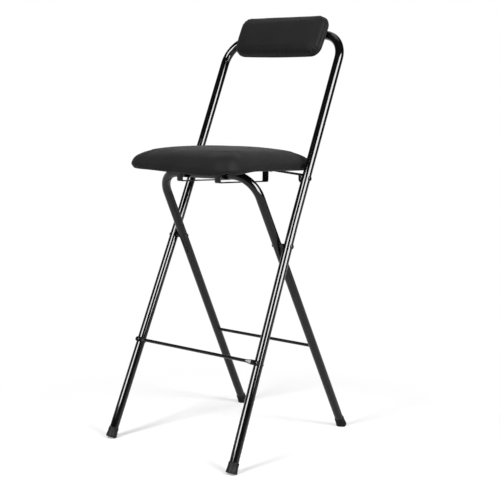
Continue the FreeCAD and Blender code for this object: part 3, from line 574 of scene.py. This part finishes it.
# The cover fills like a real one: held at its hem, blown up a little, and kept near the drawn form
def swell(piece, look):
    drawn = [v.co.copy() for v in piece.data.vertices]
    held = piece.vertex_groups.new(name="held")
    for i, place in enumerate(drawn):
        if place.z < look["heldBelow"] * mm:
            held.add([i], 1.0, "REPLACE")
    cloth = piece.modifiers.new("cloth", "CLOTH")
    cloth.settings.vertex_group_mass = "held"
    cloth.settings.use_pressure = True
    cloth.settings.uniform_pressure_force = look["pressure"]
    cloth.settings.effector_weights.gravity = 0.0
    cloth.settings.tension_stiffness = cover["stretch"]
    cloth.settings.compression_stiffness = cover["stretch"]
    cloth.settings.bending_stiffness = cover["bending"]
    cloth.settings.quality = cover["quality"]
    cloth.point_cache.frame_start = 1
    cloth.point_cache.frame_end = cover["frames"]
    for step in range(1, cover["frames"] + 1):
        bpy.context.scene.frame_set(step)
    graph = bpy.context.evaluated_depsgraph_get()
    swollen = [v.co.copy() for v in piece.evaluated_get(graph).data.vertices]
    bpy.context.scene.frame_set(1)
    piece.modifiers.remove(cloth)
    piece.vertex_groups.clear()
    moves = []
    for start, end in zip(drawn, swollen):
        move = end - start
        moves.append(move * min(1.0, look["swellCap"] * mm / max(move.length, 1e-9)))
    neighbours = [[] for _ in drawn]
    for edge in piece.data.edges:
        a, b = edge.vertices
        neighbours[a].append(b)
        neighbours[b].append(a)
    for _ in range(look["calming"]):
        moves = [move * cover["ownShare"]
                 + sum((moves[k] for k in near), Vector()) * ((1 - cover["ownShare"]) / len(near))
                 for move, near in zip(moves, neighbours)]
    for vertex, start, move in zip(piece.data.vertices, drawn, moves):
        vertex.co = start + move
    print(piece.name, "swelled by up to %.1f mm" % (max(move.length for move in moves) / mm))


# From 0 at the span's first value to 1 at its second, which may be the smaller one
def fade(span, value):
    share = min(1.0, max(0.0, (value - span[0]) / (span[1] - span[0])))
    return share * share * (3 - 2 * share)


def bell(value, width):
    return math.exp(-(value / width) ** 2)


# Ridges and grooves along a pad's side, each (height, width, depth)
def ridges(z, shapes):
    return sum(depth * bell(z - height, width) for height, width, depth in shapes)


# Slow, shallow unevenness of the cover
def waves(place, look):
    x, y, z = (part / size for part, size in zip(place / mm, look["waveSize"]))
    return noise.noise(Vector((x, y, look["waveStart"] + z))) * look["waveDepth"]


seatPad = dict(
    halfTop=169.0, halfBottom=169.0, rise=176.5, bow=5.0, corner=40.0, sharpening=0.2, around=220, spacing=5.0,
    under=[(27.0, 3.0), (27.0, 0.6), (26.0, 0.0), (18.0, 0.0), (12.0, 0.0)],
    section=[(7.0, 0.2), (2.5, 2.6), (0.0, 9.0), (0.8, 16.7), (4.5, 25.2), (16.0, 34.9), (42.0, 43.4), (84.0, 50.2),
             (126.0, 53.6), (168.0, 54.6)],
    ringsTo=36.0, heldBelow=2.0, pressure=2.0, swellCap=3.0, calming=8, middleY=-60.5, hemZ=678.7,
)
seatRim = dict(
    droopLeft=2.0, droopRight=12.5, across=(-150.0, 150.0), sideRun=(122.0, 0.0), upward=(36.0, 3.0),
    edge=(34.0, 6.0), rearLift=2.0, rearFrom=(-20.0, 90.0), rearEdge=(10.0, 4.0), cornerAt=18.0,
    cornerWidth=46.0, cornerEdge=(34.0, 4.0), pleats=8.0, pleatShift=0.9, pleatBand=[(5.0, 9.0, 0.55)],
    roll=[(13.0, 5.0, 0.9), (4.5, 3.0, -0.9)], lip=[(3.5, 3.5, 0.9), (10.0, 3.0, -1.1)], lipEdge=(10.0, 3.0),
    lipAtCorner=0.4, waveSize=(60, 60, 30), waveStart=0, waveDepth=0.5, aboveHem=(-1.0, 2.5),
)


# The cover's lower edge hangs lower along the front towards the right, and has soft folds at the front corners
def shapeSeatRim(place, normal, look):
    x, y, z = place / mm
    low = fade(look["upward"], z)
    fromSide, fromFront = seatPad["halfTop"] - abs(x), seatPad["rise"] + y
    inset = min(fromSide, seatPad["rise"] - abs(y))
    frontDrop = look["droopLeft"] + (look["droopRight"] - look["droopLeft"]) * fade(look["across"], x)
    sideDrop = frontDrop * fade(look["sideRun"], fromFront)
    drop = max(frontDrop * fade(look["edge"], fromFront), sideDrop * fade(look["edge"], fromSide)) * low
    cornerX, cornerY = abs(x) - seatPad["halfTop"] + seatPad["corner"], y + seatPad["rise"] - seatPad["corner"]
    fromCorner = math.hypot(cornerX - look["cornerAt"], cornerY + look["cornerAt"])
    near = bell(fromCorner, look["cornerWidth"]) * fade(look["cornerEdge"], inset)
    angle = math.atan2(cornerY, cornerX)
    pleats = math.sin(angle * look["pleats"] + math.copysign(look["pleatShift"], x)) * ridges(z, look["pleatBand"])
    lip = ridges(z, look["lip"]) * fade(look["lipEdge"], inset) * (1 - (1 - look["lipAtCorner"]) * near)
    rear = fade(look["rearFrom"], y) * look["rearLift"] * low * fade(look["rearEdge"], inset)
    out = ((pleats + ridges(z, look["roll"])) * near + lip + waves(place, look)) * fade(look["aboveHem"], z)
    return normal * out * mm + Vector((0, 0, (rear - drop) * mm))


def displace(piece, mover, look):
    normals = [vertex.normal.copy() for vertex in piece.data.vertices]
    for vertex, normal in zip(piece.data.vertices, normals):
        vertex.co = vertex.co + mover(vertex.co, normal, look)
    piece.data.update()


padSmooth = 80.0
seatCushion = padBody("seatCushion", seatPad)
swell(seatCushion, seatPad)
applyModifier(seatCushion, "SUBSURF", {"levels": 1, "render_levels": 1})
displace(seatCushion, shapeSeatRim, seatRim)
placePiece(seatCushion, Matrix.Translation((0, seatPad["middleY"] * mm, seatPad["hemZ"] * mm)))
finishPiece(seatCushion, "seatCushion", blackLeatherette, padSmooth)
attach(seatCushion, "seat")
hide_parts("seat_cover", "seat_foam")
print("seat cushion made")

backPad = dict(
    halfTop=137.4, halfBottom=136.1, rise=54.5, bow=1.5, corner=24.5, sharpening=0.42, around=180, spacing=4.0,
    under=[(30.0, 0.4), (18.0, 0.2), (11.0, 0.0)],
    section=[(5.5, 0.3), (1.8, 3.0), (0.0, 9.0), (0.2, 15.8), (1.2, 21.6), (4.0, 27.0), (8.5, 30.6), (16.0, 33.2),
             (28.0, 35.2), (54.0, 36.4)],
    ringsTo=16.0, heldBelow=1.5, pressure=2.5, swellCap=1.6, calming=8, middle=1092.5, gap=11.3, roll=-2.1,
    shift=5.1,
)
backRim = dict(
    corner=(-8.0, 14.0), gathers=13.0, gatherBand=[(24.0, 6.0, 0.9)], ends=(26.0, 6.0),
    seam=[(11.5, 3.5, 1.0), (18.0, 2.2, -1.9)], waveSize=(50, 40, 25), waveStart=7, waveDepth=0.35,
    aboveBack=(0.5, 6.0),
)


# The seam of the ends with a full edge behind it, and small gathers at the corners in front of it
def shapeBackRim(place, normal, look):
    x, y, z = place / mm
    cornerX = abs(x) - backPad["halfTop"] + backPad["corner"]
    cornerY = abs(y) - backPad["rise"] + backPad["corner"]
    near = fade(look["corner"], cornerX) * fade(look["corner"], cornerY)
    angle = math.atan2(max(cornerY, 0.1), max(cornerX, 0.1))
    gathers = math.sin(angle * look["gathers"] + math.copysign(1.0, x * y)) * ridges(z, look["gatherBand"]) * near
    seam = ridges(z, look["seam"]) * fade(look["ends"], backPad["halfTop"] - abs(x))
    return normal * (gathers + waves(place, look) * fade(look["aboveBack"], z) + seam) * mm


backOffset = (backPad["shift"] * mm, -backPad["gap"] * mm, backPad["middle"] * mm)
backPlace = (leanAxes(mainTube) @ Matrix.Translation(backOffset)
             @ Matrix.Rotation(math.pi / 2, 4, "X") @ Matrix.Rotation(math.radians(backPad["roll"]), 4, "Z"))
backCushion = padBody("backrestCushion", backPad)
swell(backCushion, backPad)
applyModifier(backCushion, "SUBSURF", {"levels": 1, "render_levels": 1})
displace(backCushion, shapeBackRim, backRim)
placePiece(backCushion, backPlace)
finishPiece(backCushion, "backrestCushion", blackLeatherette, padSmooth)
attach(backCushion, "frame")
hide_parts("backrest_cover", "backrest_foam")
print("backrest cushion made")

# Staples that hold the hem under the seat
staple = dict(
    crown=10.0, wire=0.9, flattened=0.7, leg=2.2, edge=0.15, inset=17.0, cornerInset=8.0, pitch=22.0, z=678.75,
    skew=0.22, skewStep=2.7, around=240,
)
ironwork = dict(stripY=34.1, stripClear=15.0, guideClear=16.0, guideFootY=(-175.0, -140.0))


def makeStaple(look):
    bpy.ops.mesh.primitive_plane_add(size=1.0, location=(0, 0, 0))
    piece = bpy.context.active_object
    piece.scale = (look["crown"] * mm, look["wire"] * mm, 1.0)
    bpy.ops.object.transform_apply(location=True, rotation=True, scale=True)
    bpy.ops.object.mode_set(mode="EDIT")
    end = look["crown"] / 2 * mm
    selectEdges(piece, lambda a, b: abs(abs(a.x) - end) < 1e-6 and abs(a.x - b.x) < 1e-6)
    bpy.ops.mesh.extrude_region_move(TRANSFORM_OT_translate={"value": (0.0, 0.0, look["leg"] * mm)})
    bpy.ops.object.mode_set(mode="OBJECT")
    applyModifier(piece, "SOLIDIFY", {"thickness": look["wire"] * look["flattened"] * mm, "offset": 0.0})
    applyModifier(piece, "BEVEL", {"width": look["edge"] * mm, "segments": 1, "angle_limit": math.radians(50)})
    return piece


# True where the pivot strip or a guide's foot covers the hem
def onIronwork(x, y, look):
    if abs(y - look["stripY"]) < look["stripClear"]:
        return True
    front, rear = look["guideFootY"]
    return abs(abs(x) - guide["offset"]) < look["guideClear"] and front < y < rear


pattern = makeStaple(staple)
copies = []
around = staple["around"]
stapleHalf, stapleRise = seatPad["halfTop"] - staple["inset"], seatPad["rise"] - staple["inset"]
stapleCorner = seatPad["corner"] - staple["cornerInset"]
hemLine = padOutline(stapleHalf, stapleHalf, stapleRise, seatPad["bow"], stapleCorner, around)
stapleCount = round(sum((hemLine[i] - hemLine[i - 1]).length for i in range(around)) / staple["pitch"])
for k in range(stapleCount):
    i = round(k * around / stapleCount) % around
    spot = hemLine[i] + Vector((0, seatPad["middleY"]))
    if onIronwork(spot.x, spot.y, ironwork):
        continue
    run = hemLine[(i + 2) % around] - hemLine[i - 2]
    turn = math.atan2(run.y, run.x) + staple["skew"] * math.sin(k * staple["skewStep"])
    copy = pattern.copy()
    copy.data = pattern.data.copy()
    place = Matrix.Translation((spot.x * mm, spot.y * mm, staple["z"] * mm))
    copy.data.transform(place @ Matrix.Rotation(turn, 4, "Z"))
    bpy.context.scene.collection.objects.link(copy)
    copies.append(copy)
bpy.data.objects.remove(pattern)
bpy.ops.object.select_all(action="DESELECT")
for copy in copies:
    copy.select_set(True)
bpy.context.view_layer.objects.active = copies[0]
bpy.ops.object.join()
staples = finishPiece(bpy.context.active_object, "hemStaples", zincSteel)
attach(staples, "seat")
print("staples made:", len(copies))

# Floor, world, lamps and camera. Under the stool the floor is mostly lit paper, which keeps the shadow, and further
# out it turns plain white.
stageLook = dict(
    white="#fafafa", floorSize=24.0, floorZ=-0.0002, floorRoughness=0.9, showWhite=0.3, clearFrom=0.3,
    clearTo=0.8, ambient=0.2, horizonTop=0.16, ceilingFrom=0.34, ceiling=0.06, roomSide=(-0.9, 0.436, 0.0),
    roomDark=0.3, roomLight=0.9, room=0.08,
)


# 1 for rays from the camera, in a reflection or through glass, so that these see plain white
def seenDirectly(material):
    path = addNode(material, "ShaderNodeLightPath")
    first = addNode(material, "ShaderNodeMath", {"operation": "MAXIMUM"},
                    {0: (path, "Is Camera Ray"), 1: (path, "Is Glossy Ray")})
    return addNode(material, "ShaderNodeMath", {"operation": "MAXIMUM"},
                   {0: (first, "Value"), 1: (path, "Is Transmission Ray")})


def makeFloor(look):
    bpy.ops.mesh.primitive_plane_add(size=look["floorSize"], location=(0, 0, look["floorZ"]))
    floor = bpy.context.active_object
    floor.name = "studioFloor"
    material, shader = newMaterial("paperFloor")
    shader.inputs["Base Color"].default_value = toLinear(look["white"])
    shader.inputs["Roughness"].default_value = look["floorRoughness"]
    shader.inputs["Specular IOR Level"].default_value = 0.0
    white = addNode(material, "ShaderNodeEmission", {"Color": (1, 1, 1, 1), "Strength": 1.0})
    direct = seenDirectly(material)
    place = addNode(material, "ShaderNodeTexCoord")
    away = addNode(material, "ShaderNodeVectorMath", {"operation": "LENGTH"}, {0: (place, "Object")})
    share = addNode(material, "ShaderNodeMapRange",
                    {"From Min": look["clearFrom"], "From Max": look["clearTo"], "To Min": look["showWhite"],
                     "interpolation_type": "SMOOTHSTEP"}, {"Value": (away, "Value")})
    amount = addNode(material, "ShaderNodeMath", {"operation": "MULTIPLY"},
                     {0: (direct, "Value"), 1: (share, "Result")})
    mixed = addNode(material, "ShaderNodeMixShader", links={
        0: (amount, "Value"), 1: (shader, "BSDF"), 2: (white, "Emission")})
    plug(material, mixed, "Shader", material.node_tree.nodes["Material Output"], "Surface")
    floor.data.materials.append(material)


# White to the camera. Reflections see a white backdrop to the left of the stool and behind it, and elsewhere a dark
# room and ceiling.
def makeWorld(look):
    world = bpy.data.worlds.new("studioWorld")
    bpy.context.scene.world = world
    world.use_nodes = True
    path = addNode(world, "ShaderNodeLightPath")
    place = addNode(world, "ShaderNodeTexCoord")
    height = addNode(world, "ShaderNodeSeparateXYZ", links={"Vector": (place, "Generated")})
    backdrop = addNode(world, "ShaderNodeMapRange",
                       {"From Min": look["horizonTop"], "From Max": look["ceilingFrom"], "To Min": 1.0,
                        "To Max": look["ceiling"], "interpolation_type": "SMOOTHSTEP"}, {"Value": (height, "Z")})
    towards = addNode(world, "ShaderNodeVectorMath", {"operation": "DOT_PRODUCT", 1: look["roomSide"]},
                      {0: (place, "Generated")})
    behind = addNode(world, "ShaderNodeMapRange",
                     {"From Min": look["roomDark"], "From Max": look["roomLight"], "To Min": look["room"],
                      "To Max": 1.0, "interpolation_type": "SMOOTHSTEP"}, {"Value": (towards, "Value")})
    seen = addNode(world, "ShaderNodeMath", {"operation": "MAXIMUM"},
                   {0: (path, "Is Camera Ray"), 1: (path, "Is Transmission Ray")})
    around = addNode(world, "ShaderNodeMath", {"operation": "MULTIPLY"},
                     {0: (behind, "Result"), 1: (backdrop, "Result")})
    mirrored = addNode(world, "ShaderNodeMath", {"operation": "MULTIPLY"},
                       {0: (path, "Is Glossy Ray"), 1: (around, "Value")})
    lit = addNode(world, "ShaderNodeMath", {"operation": "MULTIPLY", 1: look["ambient"]},
                  {0: (path, "Is Diffuse Ray")})
    first = addNode(world, "ShaderNodeMath", {"operation": "MAXIMUM"}, {0: (seen, "Value"), 1: (mirrored, "Value")})
    strength = addNode(world, "ShaderNodeMath", {"operation": "MAXIMUM"}, {0: (first, "Value"), 1: (lit, "Value")})
    shader = world.node_tree.nodes["Background"]
    shader.inputs["Color"].default_value = (1, 1, 1, 1)
    world.node_tree.links.new(strength.outputs["Value"], shader.inputs["Strength"])


# The front and right softboxes are pairs: a large one only shines in reflections, a small one only lights and shades
lamps = [
    dict(name="frontShine", place=(-0.1, -2.72, 1.96), aim=(0, -0.23, 0.92), size=(1.6, 1.6), power=255.0,
         shine=True),
    dict(name="frontKey", place=(-0.1, -2.6, 2.35), aim=(0, -0.05, 0.3), size=(0.8, 0.8), power=90.0, shine=False),
    dict(name="rightShine", place=(1.9, -0.15, 1.4), aim=(0, 0.05, 1.05), size=(1.3, 1.6), power=214.0, shine=True),
    dict(name="rightKey", place=(1.9, -0.1, 1.6), aim=(0, 0.05, 0.2), size=(0.9, 0.9), power=44.0, shine=False),
    dict(name="overhead", place=(-0.5, 0.5, 2.9), aim=(0, 0, 0.6), size=(1.8, 1.8), power=16.0),
]


def addLamp(look):
    light = bpy.data.lights.new(look["name"], "AREA")
    light.shape = "RECTANGLE"
    light.size, light.size_y = look["size"]
    light.energy = look["power"]
    lamp = bpy.data.objects.new(look["name"], light)
    bpy.context.scene.collection.objects.link(lamp)
    lamp.location = look["place"]
    lamp.rotation_euler = (Vector(look["place"]) - Vector(look["aim"])).to_track_quat("Z", "Y").to_euler()
    if "shine" in look:
        lamp.visible_glossy = look["shine"]
        lamp.visible_diffuse = not look["shine"]


view = dict(place=(1.5558, -1.8496, 0.7494), azimuth=39.28, elevation=6.486, roll=1.0625, lens=69.31, sensor=36.0)


def addCamera(look):
    azimuth, elevation, roll = (math.radians(look[key]) for key in ("azimuth", "elevation", "roll"))
    back = Vector((math.sin(azimuth) * math.cos(elevation), -math.cos(azimuth) * math.cos(elevation),
                   math.sin(elevation)))
    level = Vector((math.cos(azimuth), math.sin(azimuth), 0))
    rise = back.cross(level)
    across = level * math.cos(roll) + rise * math.sin(roll)
    up = back.cross(across)
    data = bpy.data.cameras.new("photoCamera")
    data.sensor_width = look["sensor"]
    data.lens = look["lens"]
    camera = bpy.data.objects.new("photoCamera", data)
    bpy.context.scene.collection.objects.link(camera)
    turn = Matrix((across, up, back)).transposed().to_4x4()
    camera.matrix_world = Matrix.Translation(look["place"]) @ turn
    bpy.context.scene.camera = camera


makeFloor(stageLook)
makeWorld(stageLook)
for lampLook in lamps:
    addLamp(lampLook)
addCamera(view)
bpy.context.scene.view_settings.view_transform = "Standard"
print("stage ready")
